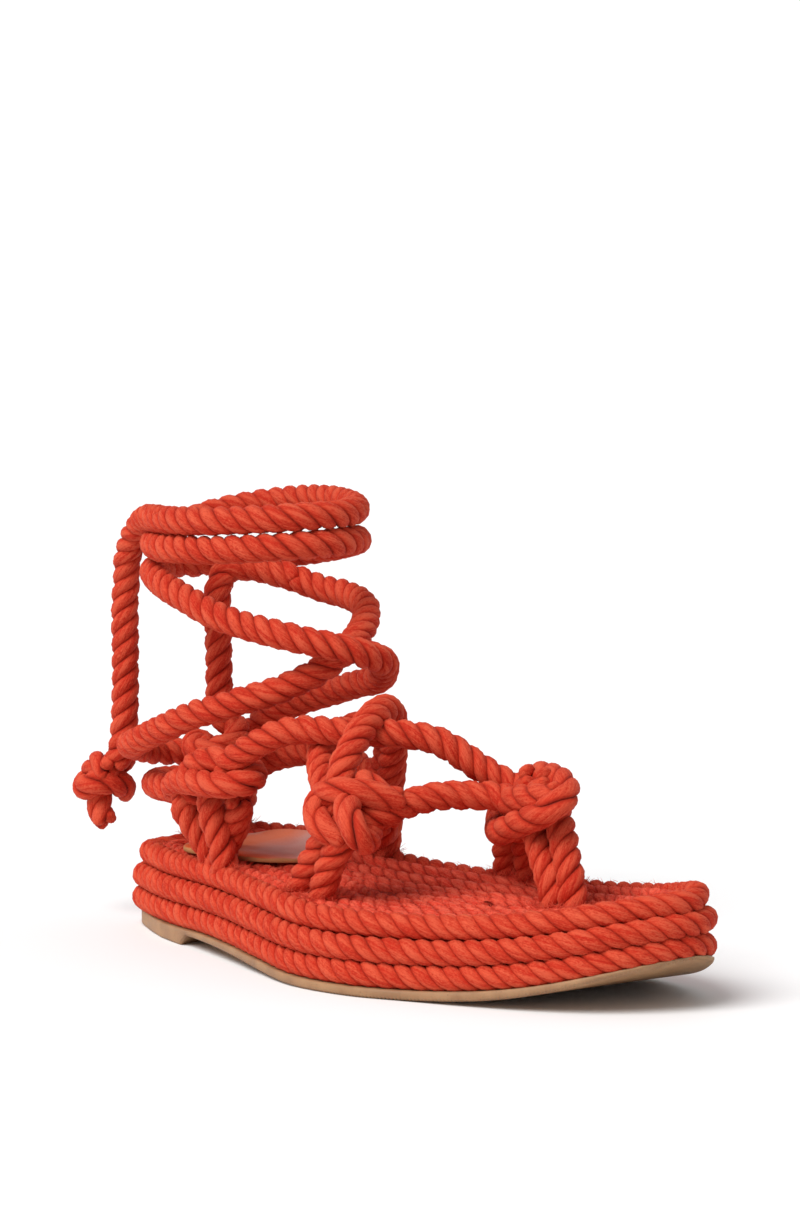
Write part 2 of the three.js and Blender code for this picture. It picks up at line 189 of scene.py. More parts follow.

# %% [markdown]
# A rope has hundreds of rings, and a knot has many ropes. They are gathered as plain lists of points and
# faces and become one mesh at the end, which is much quicker than joining objects. Each point also keeps
# its place on its strand and its crown, which says how far out of the groove it lies. The finishes read
# both: the place, so that the fibres follow the strands through every turn, and the crown, for the painted
# shade in the grooves and the wear and painted highlight on the crowns.

# %% What a piece of the shoe is
def dress(piece, slot, *replaced):
    """Says what a piece rides on, which finish it has and which nodes it stands for."""
    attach(piece, "root")
    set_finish(piece, slot)
    if replaced:
        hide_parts(*replaced)
    faces = sum(len(face.vertices) - 2 for face in piece.data.polygons)
    print(f"{piece.name}: {faces} triangles")
    return piece


# %% Rounded ends of a tube
END_CROWN = 0.95                 # a cut end shows its pale fibres, not the dark of a groove
END_REACH = 0.45                 # how far a rounded end stands out, as a share of its radius
END_SHARE = 0.74                 # radius of the last ring of a rounded end


def rounded(rings, place, crown):
    """The same open tube with one smaller ring beyond each end."""
    ends = []
    for ring, inner in ((0, 1), (-1, -2)):
        middle = rings[ring].mean(0)
        ahead = middle - rings[inner].mean(0)
        radius = np.linalg.norm(rings[ring] - middle, axis=1).mean()
        ahead *= END_REACH * radius / np.linalg.norm(ahead)
        ends.append((middle + END_SHARE * (rings[ring] - middle) + ahead)[None])
    crown = crown.copy()
    crown[[0, -1]] = np.maximum(crown[[0, -1]], END_CROWN - 0.05)
    last = np.full((1, crown.shape[1]), END_CROWN)
    return (np.concatenate([ends[0], rings, ends[1]]),
            np.concatenate([place[:1], place, place[-1:]]),
            np.concatenate([last, crown, last]))


# %% Gathering many tubes into one mesh
TIP_REACH = 0.4                  # how far the tip of an end stands out, as a share of the last step


class Bundle:
    """Closed forms that become one mesh."""

    def __init__(self):
        self.points, self.faces, self.place, self.crown, self.count = [], [], [], [], 0

    def add(self, points, place, crown):
        """Adds points, each with its place on a strand and its crown, and returns their numbers."""
        self.points.append(points.reshape(-1, 3))
        self.place.append(place.reshape(-1, 3))
        self.crown.append(crown.reshape(-1))
        numbers = self.count + np.arange(crown.size)
        self.count += crown.size
        return numbers

    def tube(self, rings, place, crown, closed=False):
        """Adds a tube through rings of points; an open tube gets a rounded end at each side."""
        if not closed:
            rings, place, crown = rounded(rings, place, crown)
        index = self.add(rings, place, crown).reshape(crown.shape)
        here = index if closed else index[:-1]
        ahead = np.roll(index, -1, 0) if closed else index[1:]
        around = [here, np.roll(here, -1, 1), np.roll(ahead, -1, 1), ahead]
        self.faces += np.stack(around, -1).reshape(-1, 4).tolist()
        if closed:
            return
        for ring, inner, order in ((0, 1, -1), (-1, -2, 1)):
            middle = rings[ring].mean(0)
            tip = middle + (middle - rings[inner].mean(0)) * TIP_REACH
            top = int(self.add(tip, place[ring].mean(0), np.array([END_CROWN]))[0])
            edge = index[ring][::order]
            self.faces += [[int(a), int(b), top] for a, b in zip(edge, np.roll(edge, -1))]

    def piece(self, name, *replaced, slot="rope"):
        """The mesh as a piece of the shoe that stands for those nodes of the frame."""
        mesh = bpy.data.meshes.new(name)
        mesh.from_pydata((np.vstack(self.points) * MM).tolist(), [], self.faces)
        mesh.attributes.new("strand_place", "FLOAT_VECTOR", "POINT").data.foreach_set(
            "vector", np.vstack(self.place).astype(np.float32).ravel())
        mesh.attributes.new("crown", "FLOAT", "POINT").data.foreach_set(
            "value", np.concatenate(self.crown).astype(np.float32))
        mesh.polygons.foreach_set("use_smooth", [True] * len(mesh.polygons))
        made = bpy.data.objects.new(name, mesh)
        bpy.context.scene.collection.objects.link(made)
        return dress(made, slot, *replaced)


# %% [markdown]
# Three round strands would touch in a line and leave deep grooves. In a real rope they are pressed
# together and bulge sideways, so the section of a strand is an ellipse. It is made just wide enough that
# two strands meet at the groove's depth. The longer the lay, which is one full turn of a strand, the
# further apart the grooves lie. A little uneven swell keeps the rope from looking machined.

# %% Section of a strand
STRANDS = 3
STRAND_SHARE = 0.47              # radius of a strand, as a share of the rope's radius
GROOVE = 0.74                    # how far out two strands meet, as a share of the rope's radius
WIND_SHARE = 0.8                 # how far out the slant of a strand is measured
WIDEST = 1.32                    # width of the ellipse, at most, for a height of 1
UPPER_LAY = 17.5                 # one full turn of a strand
KNOT_LAY = 32.0                  # a wrap that is pulled tight loses most of its twist
LOOSE_KNOT_LAY = 21.0            # a loose knot keeps it
SOLE_LAY = 17.5


def strand_width(radius, lay):
    """How wide a strand is for a height of 1, so that it meets its neighbours at the groove."""
    thick = STRAND_SHARE * radius
    slant = math.atan(2 * math.pi * WIND_SHARE * radius / lay)
    half_gap = lay / STRANDS * math.sin(slant) / 2
    meeting = math.sqrt(max(0, (GROOVE * radius)**2 - (half_gap * math.cos(slant))**2))
    pressed = min(0.9, max(0.15, (meeting - radius + thick) / thick))
    return min(WIDEST, half_gap / math.sqrt(1 - pressed**2) / thick)


print(f"upper: a strand is {strand_width(ROPE / 2, UPPER_LAY):.2f} times as wide as thick")
print(f"sole: a strand is {strand_width(LAYER / 2, SOLE_LAY):.2f} times as wide as thick")

# %% Three strands along a line
YARN_TURN = -0.42                # radians that the yarns turn inside a strand, per millimetre
STRAND_LENGTH = 1.15             # a strand is longer than the rope that it winds round in
FIBRES_APART = 40                # moves each strand's fibres on, so that no two strands are alike
SWELL = 0.035
SWELL_BEATS = (20, 34)           # millimetres between two swells, from and to


def lay_rope(bundle, line, diameter, lay, sides=12, flat=1.0, part=(0.0, 1.0), closed=False, phase=0.0):
    """Winds three strands round a line of points; part is the share of the line that is made."""
    centre, run, length = evenly(line, closed=closed)
    side, up = carried_frames(centre, closed)
    if closed:
        lay = length / round(length / lay)
    radius = diameter / 2
    thick = STRAND_SHARE * radius
    wide = strand_width(radius, lay)
    keep = (run >= part[0] * length - 1e-6) & (run <= part[1] * length + 1e-6)
    wobble = np.random.default_rng(round(length * 10))
    theta = np.linspace(0, 2 * np.pi, sides, endpoint=False)
    for strand in range(STRANDS):
        angle = phase + 2 * np.pi * (run / lay + strand / STRANDS)
        outward = np.cos(angle)[:, None] * side + np.sin(angle)[:, None] * up
        core = centre + (radius - thick) * outward
        along = along_line(core, closed)
        outward -= along * (outward * along).sum(1)[:, None]
        outward /= np.linalg.norm(outward, axis=1)[:, None]
        across = np.cross(along, outward)
        beat, drift = wobble.uniform(*SWELL_BEATS), wobble.uniform(0, 6.28)
        swell = thick * (1 + SWELL * np.sin(run / length * round(length / beat) * 2 * np.pi + drift))
        ring = np.cos(theta)[None, :, None] * outward[:, None]
        ring = ring + wide * np.sin(theta)[None, :, None] * across[:, None]
        rings = core[:, None] + swell[:, None, None] * ring
        crown = np.linalg.norm(rings - centre[:, None], axis=2) / radius
        rings[..., 2] = centre[:, None, 2] + (rings[..., 2] - centre[:, None, 2]) * flat
        turned = theta[None] - YARN_TURN * run[:, None]
        place = np.stack([thick * np.cos(turned) + FIBRES_APART * strand, thick * np.sin(turned),
                          np.broadcast_to(run[:, None] * STRAND_LENGTH, turned.shape)], -1)
        bundle.tube(rings[keep], place[keep], crown[keep], closed)
    return centre[keep]


def lay_routes(bundle, routes, diameter, lay=UPPER_LAY):
    """Lays one rope on each route; each starts a little further round than the one before."""
    for number, route in enumerate(routes):
        lay_rope(bundle, smooth_curve(on_last(route)), diameter, lay, phase=0.9 * number)


sample = Bundle()
lay_rope(sample, bend, ROPE, UPPER_LAY)
print("a rope round the corner has", len(sample.faces), "faces")


# %% [markdown]
# The two free ends hang from the wound ropes under their own weight. They are laid as ropes along drawn
# routes, with their real length and thickness. Each ends in a stopper knot with a short tail. Where a rope
# goes on from the ankle into a free end, the strands are wound along the whole route once and only the last
# part is kept here, so that they meet without a step.

# %% Routes of the ankle ropes and their free ends
ANKLE_FROM_KNOT = [
    [-108, 28, 25], [-115, 22, 29], [-121, 13, 31], [-124, 3, 32], [-121, -7, 34], [-115, -15, 36],
    [-107, -21, 37.5], [-98, -25, 39.5], [-87, -28, 43], [-74, -30, 47], [-61, -29, 52],
    [-50, -26, 55], [-42, -22, 58], [-35, -17, 60.5], [-29, -11, 64], [-24, -4, 68.5],
    [-22, 2, 73], [-25, 11, 78], [-31, 19, 82], [-38, 25, 85.5], [-47, 29, 87.5], [-57, 30.5, 89],
    [-68, 29, 90.5], [-76, 26, 93],
]
ANKLE_ROUND_TWICE = [
    [-109, 25, 26], [-109, 27, 33], [-101, 28, 41], [-91, 29, 47], [-80, 31, 51], [-66, 33, 55],
    [-51, 32, 59], [-35, 28, 62], [-23, 21, 67], [-14, 12, 71], [-12, 2, 74], [-14, -5, 76],
    [-20, -13, 78], [-28, -19, 80], [-39, -23, 82], [-53, -26, 85], [-66, -27, 89], [-78, -26, 92],
    [-90, -22, 94.5], [-102, -15, 96], [-110, -7, 96.5], [-114, 2, 97], [-112, 12, 97],
    [-104, 22, 98], [-91, 30, 100], [-73, 33, 103], [-54, 30, 106], [-40, 23, 108.4],
    [-31, 11, 109], [-29, -1, 108.6], [-34, -11, 108], [-45, -19, 107], [-59, -24, 105.9],
    [-74, -25, 105.5], [-89, -22, 105], [-103, -14, 105.5], [-112, -4, 106.5], [-114, 4, 109],
    [-112, 13, 113], [-105, 22, 116], [-93, 30, 118.3], [-77, 33, 120], [-60, 31, 120],
    [-44, 25, 119.2], [-33, 15, 118.5], [-29, 3, 118], [-33, -9, 117.5], [-45, -18, 116.5],
    [-59, -24, 115.5], [-74, -25, 115], [-86, -22, 114.5],
]
LONG_END = [
    [-86, -22, 114.5], [-97, -18, 114.2], [-107, -14, 113.5], [-116, -10, 111], [-123, -8, 106],
    [-128, -7, 99], [-130, -6, 91], [-131, -6, 82], [-131, -6, 72], [-131, -6, 62], [-131, -6, 52],
    [-131.5, -6, 43], [-133, -6, 34], [-136, -6, 28],
]
LONG_END_KNOT = [
    [[-136, -6, 30], [-141, 0, 28], [-149, 0, 24], [-151, -7, 20], [-146, -12, 18.5], [-139.5, -11, 21],
     [-137.5, -4, 20], [-142, 1.5, 17]],
    [[-148, -8, 23], [-142, -9, 27], [-136, -10, 25]],
    [[-142, -6, 25], [-145, -7, 17], [-143.5, -8, 11], [-141, -8, 7]],
]
SHORT_END = [
    [-76, 26, 93], [-83.5, 22, 95], [-91, 17, 96.5], [-95.7, 11.5, 95.5], [-97.7, 9, 90], [-98, 9, 80],
    [-97.7, 9, 68], [-97.5, 9, 56], [-97.5, 9, 46],
]
SHORT_END_KNOT = [
    [[-97.5, 9, 45], [-92, 12, 42], [-87, 7, 38], [-90, 0, 35], [-98, -1, 35], [-103, 4, 37],
     [-98, 8, 33]],
    [[-95, 5, 38], [-95, 4, 31], [-94, 3, 25], [-94, 3, 20]],
]


def length_of(route):
    return evenly(smooth_curve(on_last(route)))[2]


print(f"rope wound round the ankle: {length_of(ANKLE_FROM_KNOT) + length_of(ANKLE_ROUND_TWICE):.0f} mm")


def wound_share(wound, end):
    """The share of a rope that is wound, the rest of which hangs free."""
    return length_of(wound) / (length_of(wound) + length_of(end))


def free_end(name, wound, end, knot):
    """A hanging rope that goes on from the wound one, and its stopper knot."""
    rope = Bundle()
    whole = smooth_curve(on_last(wound + end[1:]))
    path = lay_rope(rope, whole, ROPE, UPPER_LAY, part=(wound_share(wound, end), 1))
    cord = rope.piece(f"{name}_rope", name)
    stopper = Bundle()
    lay_routes(stopper, knot, KNOT_ROPE, LOOSE_KNOT_LAY)
    tied = stopper.piece(f"{name}_stopper", f"{name}_knot")
    tuple(path[0] * MM)
    (path * MM).tolist()
    print(f"{name}: {length_of(end):.0f} mm of rope hangs free before its knot")


free_end("hanging_end_long", ANKLE_ROUND_TWICE, LONG_END, LONG_END_KNOT)
free_end("hanging_end_short", ANKLE_FROM_KNOT, SHORT_END, SHORT_END_KNOT)

# %% [markdown]
# The wound ropes go from the inner heel knot round the ankle. One makes half a figure of eight, the other
# goes on for two level turns. Only stiffness and friction hold them, so they touch where they cross. They
# could be simulated, but the picture shows their exact form, so they are drawn.

# %% Ropes wound round the ankle
ankle = Bundle()
for route, end in ((ANKLE_FROM_KNOT, SHORT_END), (ANKLE_ROUND_TWICE, LONG_END)):
    whole = smooth_curve(on_last(route + end[1:]))
    lay_rope(ankle, whole, ROPE, UPPER_LAY, part=(0, wound_share(route, end)))
ankle.piece("ankle_ropes", "ankle_wraps")

# %% [markdown]
# The loops are doubled rope. Their legs go down between the coils of the footbed, and a wrap of the same
# rope, pulled tight, gathers them into a knot. A true knot could be tied by following one long rope, but
# what is seen are a few turns that lie over each other, so each turn is a route of its own.

# %% Toe loop
TOE_LEGS = [
    [[82, 3.5, -2.5], [80, 4.5, 6], [75, 6, 13], [68, 9, 20], [61, 12, 28]],
    [[88, 6, -2], [86, 7, 8], [82, 8.5, 16], [76, 11.5, 24], [69, 15, 31]],
    [[25, 34, -4], [25, 33, 5], [27, 31, 13], [34, 26, 21], [44, 20, 29]],
    [[37, 33, -4], [37, 32, 6], [40, 28, 15], [46, 23, 23], [54, 18, 31]],
]
TOE_KNOT = [
    [[44, 24, 36], [57, 20, 39], [74, 13, 39], [83, 7, 36], [83, 2, 33], [75, 2, 29], [62, 5, 25],
     [48, 11, 21], [37, 19, 21], [31, 26, 25], [36, 29, 29], [44, 26, 31]],
    [[56, 12, 27], [64, 11, 33], [69, 10, 37], [72, 9.5, 40]],
    [[40, 21, 28], [49, 13, 30.5], [61, 8, 33], [72, 5, 34.5], [81, 5, 36]],
    [[50, 19, 32], [56, 15, 36], [60, 13, 39.5]],
]
toe = Bundle()
lay_routes(toe, TOE_LEGS, ROPE)
lay_routes(toe, TOE_KNOT, KNOT_ROPE, KNOT_LAY)
toe.piece("toe_loop_rope", "toe_loop")

# %% [markdown]
# The arch over the instep is two ropes that start in the outer knot, cross the foot apart from each other
# and meet again in the inner knot. The outer knot is seen close up, so it has four turns. The inner one is
# hardly seen and has a single wrap.

# %% Instep arch
INSTEP_LEGS = [
    [[-3, -31, -3], [-1, -31, 3], [4, -31, 10], [9, -30, 18], [11, -28, 26]],
    [[11, -33, -3], [13, -33, 4], [16, -33, 11], [20, -32, 18], [20, -29, 26]],
    [[-38, 26, -1], [-37, 26, 8], [-34, 25, 16], [-28, 23, 24]],
    [[-28, 25, -1], [-27, 25, 8], [-25, 24, 16], [-22, 22, 24]],
]
OUTER_INSTEP_KNOT = [
    [[8, -22, 30], [17, -27, 31], [26, -34, 29], [32, -37, 25], [33, -34, 20.5], [27, -27, 19.5],
     [19, -20, 21], [12, -16, 25]],
    [[16, -25, 30], [12, -29, 32], [9, -32, 30], [11, -35, 26], [17, -36, 22.5], [22, -33, 20]],
    [[4, -27, 28], [8, -30, 31.5], [16, -31, 34], [22, -28.5, 34.5], [26, -23, 33], [29, -16, 31]],
    [[21, -14, 24], [25, -17, 29], [24, -21, 34], [19, -22, 37]],
]
INNER_INSTEP_KNOT = [
    [[-16, 15, 28], [-27, 23, 27], [-34, 29, 20], [-31, 27, 14], [-20, 18, 13], [-13, 13, 18]],
]
INSTEP_ARCH = [
    [[14, -28, 27], [14, -28, 33], [13, -26, 40], [12, -21, 47], [9, -14, 52.5], [6, -7, 56],
     [2, 1, 57], [-2, 7, 54], [-7, 12, 46], [-13, 16, 37], [-19, 20, 29], [-24, 22, 24]],
    [[6, -25, 29], [-1, -22, 34], [-9, -17, 39], [-15, -11, 44], [-17, -3, 48], [-15, 5, 50],
     [-15, 12, 48.5], [-18, 18, 43], [-24, 22, 36], [-30, 24, 30], [-32, 23, 23]],
]
instep = Bundle()
lay_routes(instep, INSTEP_LEGS + INSTEP_ARCH, ROPE)
lay_routes(instep, OUTER_INSTEP_KNOT + INNER_INSTEP_KNOT, KNOT_ROPE, KNOT_LAY)
instep.piece("instep_arch_rope", "instep_arch")

# %% [markdown]
# At the heel the legs come up on both sides, and a strap goes round the back of the foot between them. The
# knots here are looser than in front, so their rope keeps its twist. Three legs stand close together at the
# outer side, which gives the thick bundle that the real loop makes there.

# %% Heel loop and the strap round the heel
HEEL_LEGS = [
    [[-59.5, -20.5, -1.5], [-63, -21.5, 6], [-68, -24, 14], [-71, -26, 21], [-70, -25, 26]],
    [[-49.5, -25, -1.5], [-50.5, -26, 10], [-54, -27, 19], [-56, -26, 27]],
    [[-58, -20, -1.5], [-56.5, -20, 7], [-50.5, -20.5, 14.5], [-45, -22, 24]],
    [[-116, 15, -0.5], [-119, 13, 8], [-118, 15, 15], [-113, 18, 22]],
    [[-112, 28, -0.5], [-112, 28, 8], [-112, 27, 15], [-111, 26, 22]],
]
OUTER_HEEL_KNOT = [
    [[-49, -16, 34], [-39, -21, 33.5], [-33.5, -28, 32], [-39, -33, 31], [-51, -34, 30.5], [-67, -30, 29.5],
     [-80, -23, 25], [-83, -15, 21], [-73, -11, 21], [-58, -12, 26]],
    [[-43, -28, 38], [-51, -30, 38], [-61, -29, 35], [-69, -25, 30]],
]
INNER_HEEL_KNOT = [
    [[-106, 15, 27], [-113, 21, 30], [-118, 28, 27], [-115, 31, 20], [-108, 28, 16], [-103, 20, 18],
     [-104, 16, 23]],
]
BACK_STRAP = [
    [[-107, 25, 21], [-112, 18, 22], [-114, 8, 23], [-112, -4, 23.5], [-103, -14, 24],
     [-91, -20, 24.5], [-78, -23, 25], [-64, -25, 26]],
]
heel = Bundle()
lay_routes(heel, HEEL_LEGS + BACK_STRAP, ROPE)
lay_routes(heel, OUTER_HEEL_KNOT + INNER_HEEL_KNOT, KNOT_ROPE, LOOSE_KNOT_LAY)
heel.piece("heel_loop_rope", "heel_loop")

# %% [markdown]
# Three single ropes tie the knots together: two from the toe knot over the outer side, and one along the
# inner side. Their ends run on into the knots, where a turn of the knot covers them, as on the real shoe.

# %% Side ropes between the knots
SIDE_ROPES = {
    "side_rope_outer": [[56, 13, 30], [46, 11, 32], [39, 6, 32], [34, -2, 32], [29, -11, 30],
                        [26, -19, 27], [21, -27, 25]],
    "side_rope_over": [[52, 21, 31], [44, 20, 34], [36, 16, 38], [30, 11, 43], [24, 5, 48],
                       [15, -2, 50], [5, -7, 50], [-5, -13, 50], [-15, -18, 50], [-23, -23, 48.5],
                       [-30, -26, 45], [-37, -28, 41], [-46, -28, 36]],
    "side_rope_inner": [[-24, 21, 23], [-34, 26, 28], [-48, 29, 32.3], [-64, 31, 33.8],
                        [-80, 32, 33.5], [-94, 31, 30.5], [-107, 27, 25]],
}
for node, route in SIDE_ROPES.items():
    side_rope = Bundle()
    lay_routes(side_rope, [route], ROPE)
    side_rope.piece(f"{node}_strands", node)

# %% [markdown]
# The sole is the same kind of rope, a little thinner, coiled flat in the outline of the foot and stacked
# three high. From the side only the outer turn of each layer shows. On top the coils show as rows that run
# along the foot, trodden flat. A spiral would be the true form, but its rows lie so close to closed rings
# that each row is simply the outline moved inward. Where two sides of it would cross, the points that come
# too near the outline are left out.

# %% Outline of the sole
OUTLINE = np.array([
    # station from heel to toe, outer edge, inner edge
    [0.0, -0.01, -0.01],
    [0.015, -0.173, 0.34],
    [0.06, -0.29, 0.685],
    [0.15, -0.455, 0.843],
    [0.25, -0.59, 0.754],
    [0.35, -0.727, 0.655],
    [0.45, -0.878, 0.68],
    [0.55, -1.0, 0.78],
    [0.65, -0.963, 0.911],
    [0.72, -0.823, 0.988],
    [0.8, -0.665, 1.0],
    [0.88, -0.486, 0.908],
    [0.94, -0.288, 0.744],
    [0.98, -0.02, 0.575],
    [1.0, 0.333, 0.333],
])
EDGE_STEP = 1.0


def station_at(x):
    """0 at the back of the heel and 1 at the tip of the toe."""
    return x / SOLE_LENGTH + 0.5


def outline_curve():
    outer = [((s - 0.5) * SOLE_LENGTH, o * SOLE_WIDTH / 2, 0) for s, o, _ in OUTLINE]
    inner = [((s - 0.5) * SOLE_LENGTH, i * SOLE_WIDTH / 2, 0) for s, _, i in OUTLINE[1:-1]]
    return smooth_curve(outer + inner[::-1], closed=True)


edge_line, _, edge_length = evenly(outline_curve(), step=EDGE_STEP, closed=True)
print(f"once round the sole: {edge_length:.0f} mm")


# %% A line moved inward
def moved_in(line, inset):
    """A closed line moved to its inner side by the inset, which may differ from point to point."""
    tangent = along_line(line, closed=True)
    inward = np.column_stack([-tangent[:, 1], tangent[:, 0], 0 * tangent[:, 0]])
    return line + inward * np.reshape(inset, (-1, 1))


def inset_line(inset):
    """The outline moved inward; what would lie nearer to the outline than the inset is left out."""
    moved = moved_in(edge_line, inset)
    gap = np.linalg.norm(moved[:, None, :2] - edge_line[None, :, :2], axis=2).min(1)
    kept = moved[gap > inset - 0.3]
    for _ in range(6):
        kept = (np.roll(kept, 1, 0) + 2 * kept + np.roll(kept, -1, 0)) / 4
    return kept


print(f"once round, 30 mm further in: {evenly(inset_line(30.0), closed=True)[2]:.0f} mm")

# %% [markdown]
# A sole is never flat. The heel stands on a block, the toe springs up, the inner edge is raised under the
# arch of the foot, and wear has lowered the outer side of the heel. One function gives the height of any
# point of the stack, so that coils, rubber and pad follow each other without gaps. A lattice could bend
# finished pieces instead, but a strand would then be squashed where the sole bends.

# %% Heights of the sole
HEEL_BLOCK = 3.7
WAIST = (0.6, 0.25)              # the sole climbs onto the block between these stations
TOE_SPRING = 11.8
SPRING_SLOPE = (0.68, 1.0)
INNER_RISE = 4.0                 # the coils stand higher along the inner edge
INNER_SLOPE = (0.62, 0.9)        # where that rise starts and ends, as shares of the way across
HEEL_END = (0.0, 0.06)           # it fades out at both ends of the sole
TOE_END = (1.0, 0.96)
HEEL_DROP = 1.6                  # the heel is trodden lower at its outer side
DROP_ALONG = (0.45, 0.15)        # stations
DROP_ACROSS = (22, -3)           # millimetres
TOE_THINNING = 3.0               # the layers are pressed together at the tip
THINNING_SLOPE = (0.8, 1.0)


def ramp(value, start, end):
    """0 up to the start, 1 from the end on, and a straight slope between them."""
    return np.clip((value - start) / (end - start), 0, 1)


def eased(share):
    return share * share * (3 - 2 * share)


def lift_at(x):
    """How far the sheet under the sole is lifted: heel block, waist, flat and toe spring."""
    station = np.clip(station_at(x), 0, 1)
    return HEEL_BLOCK * eased(ramp(station, *WAIST)) + TOE_SPRING * ramp(station, *SPRING_SLOPE)**2


def share_across(points):
    """0 at the outer edge of the sole and 1 at the inner one."""
    outer, inner = (np.interp(station_at(points[:, 0]), OUTLINE[:, 0], OUTLINE[:, k]) * SOLE_WIDTH / 2
                    for k in (1, 2))
    return (points[:, 1] - outer) / np.maximum(inner - outer, 1.0)


def toe_thinning(points):
    return TOE_THINNING * ramp(station_at(points[:, 0]), *THINNING_SLOPE)**2


def bed_at(points, height):
    """Height of a point that lies so far above the underside of the flat forefoot."""
    station = station_at(points[:, 0])
    share = (height - OUTSOLE_THICKNESS) / (LAYER_COUNT * LAYER)
    inner = INNER_RISE * eased(ramp(share_across(points), *INNER_SLOPE)) * share
    inner *= ramp(station, *HEEL_END) * ramp(station, *TOE_END)
    outer = HEEL_DROP * ramp(station, *DROP_ALONG) * ramp(points[:, 1], *DROP_ACROSS)
    return lift_at(points[:, 0]) + height + inner - outer + toe_thinning(points) * (1 - share)


heel_and_toe = np.array([[-SOLE_LENGTH / 2, 0, 0], [SOLE_LENGTH / 2, 0, 0]])
print("height of the footbed at heel and toe:", bed_at(heel_and_toe, FOOTBED).round(1).tolist(), "mm")


# %% A closed stack of rings
# At a crown of 0.8 the core takes a part of the painted groove shade.
CORE_CROWN = 0.8                 # the core shows a little between the innermost rows


def cap(bundle, ring, down):
    """Closes a ring of corners with strips across it."""
    count = len(ring)
    for i in range(count // 2):
        corners = [ring[i], ring[i + 1], ring[count - i - 1], ring[(count - i) % count]]
        corners = list(dict.fromkeys(int(corner) for corner in corners))
        bundle.faces.append(corners[::-1] if down else corners)


def stack(bundle, rings, crowns):
    """Skins rings of points, from the lowest to the highest, into one closed form."""
    points = np.array(rings)
    index = bundle.add(points, points, np.repeat(crowns, points.shape[1])).reshape(points.shape[:2])
    for low, high in zip(index, index[1:]):
        bundle.faces += np.stack([low, np.roll(low, -1), np.roll(high, -1), high], -1).tolist()
    cap(bundle, index[0], down=True)
    cap(bundle, index[-1], down=False)


def slab(bundle, line, rows):
    """A closed slab through rows of an inset and a function that gives a ring its heights."""
    rings = []
    for inset, heights in rows:
        ring = moved_in(line, inset)
        ring[:, 2] = heights(ring)
        rings.append(ring)
    stack(bundle, rings, [CORE_CROWN] * len(rows))


def even_count(line):
    """The line without its last point where it has an odd number, as the strips of a cap need."""
    return line[: 2 * (len(line) // 2)]


# %% [markdown]
# Each layer is one outer turn of rope on a plain core that stays hidden. Making every hidden turn would
# cost as many triangles as the whole upper and never be seen.

# %% Rope layers of the sole
FOOTBED_INSET = 2.5              # the top layer is a little smaller than the two below
SOLE_ROPE = LAYER * 1.11         # stitched tight, so that its lobes press into the turns below and above
CORE_INSET = 4.9                 # the core of a layer stays behind its outer turn
CORE_CLEARANCE = 0.4             # and below its top


def sole_row(bundle, inset, height, diameter=LAYER, **rope):
    """One closed turn of rope at an inset from the outline."""
    line = inset_line(inset)
    line[:, 2] = bed_at(line, height)
    lay_rope(bundle, line, diameter, SOLE_LAY, closed=True, **rope)


for layer, name in enumerate(("bottom", "middle", "top")):
    on_top = layer == LAYER_COUNT - 1
    inset = FOOTBED_INSET if on_top else 0.0
    middle = OUTSOLE_THICKNESS + (layer + 0.5) * LAYER
    low = middle - LAYER / 2 + CORE_CLEARANCE
    high = middle if on_top else middle + LAYER / 2 - CORE_CLEARANCE
    coil = Bundle()
    sole_row(coil, inset + SOLE_ROPE / 2, middle, diameter=SOLE_ROPE, phase=1.3 * layer)
    slab(coil, even_count(edge_line), [(inset + CORE_INSET, lambda ring: bed_at(ring, low)),
                                       (inset + CORE_INSET, lambda ring: bed_at(ring, high))])
    coil.piece(f"sole_coil_{name}", f"rope_layer_{name}")

# %% [markdown]
# On the footbed the inner turns of the top coil show as rows. Walking has pressed them flat, so they are
# laid as rope and then lowered towards their own middle, which keeps the strands. They are a piece of their
# own, because trodden rope has a look of its own.

# %% Rows of the footbed
ROW_FLATNESS = 0.62
ROWS = 5
ROW_START = 0.45                 # the first row lies this share of a coil further in than its number says
ROW_RISE = 1.3                   # flattened rows are set higher, so that they reach the footbed
footbed = Bundle()
for row in range(1, ROWS + 1):
    sole_row(footbed, FOOTBED_INSET + LAYER * (row + ROW_START), FOOTBED - LAYER / 2 + ROW_RISE,
             flat=ROW_FLATNESS, sides=8, phase=0.7 * row)
footbed.piece("footbed_coils")

# %% [markdown]
# A sheet of crepe rubber is glued under the coils, with a low heel block that ends in a slanted breast. Its
# tread is cut across in fine ribs. They are real notches in the lower edge, because a bump would leave the
# edge straight where it meets the floor.

# %% Rubber outsole
OUTSOLE_INSET = 1.1
BREAST = (0.205, 0.222)          # stations where the heel block ends and where its breast has risen
RIB_PITCH = 1.3
RIB_DEPTH = 0.6
RIBS_FROM = (-40.0, -32.0)       # the ribs begin under the waist of the sole
HEEL_TUCK = 2.4                  # the block stands back under the coils at the heel
TUCK_SLOPE = (0.14, 0.02)
TOE_LIFT = 1.7                   # the sheet's underside rises this much more than the layers are thinned


def outsole_bottom(ring):
    """Height of the underside: flat on the floor under the heel block, then the lift of the sole."""
    return lift_at(ring[:, 0]) * ramp(station_at(ring[:, 0]), *BREAST) + toe_thinning(ring) * TOE_LIFT


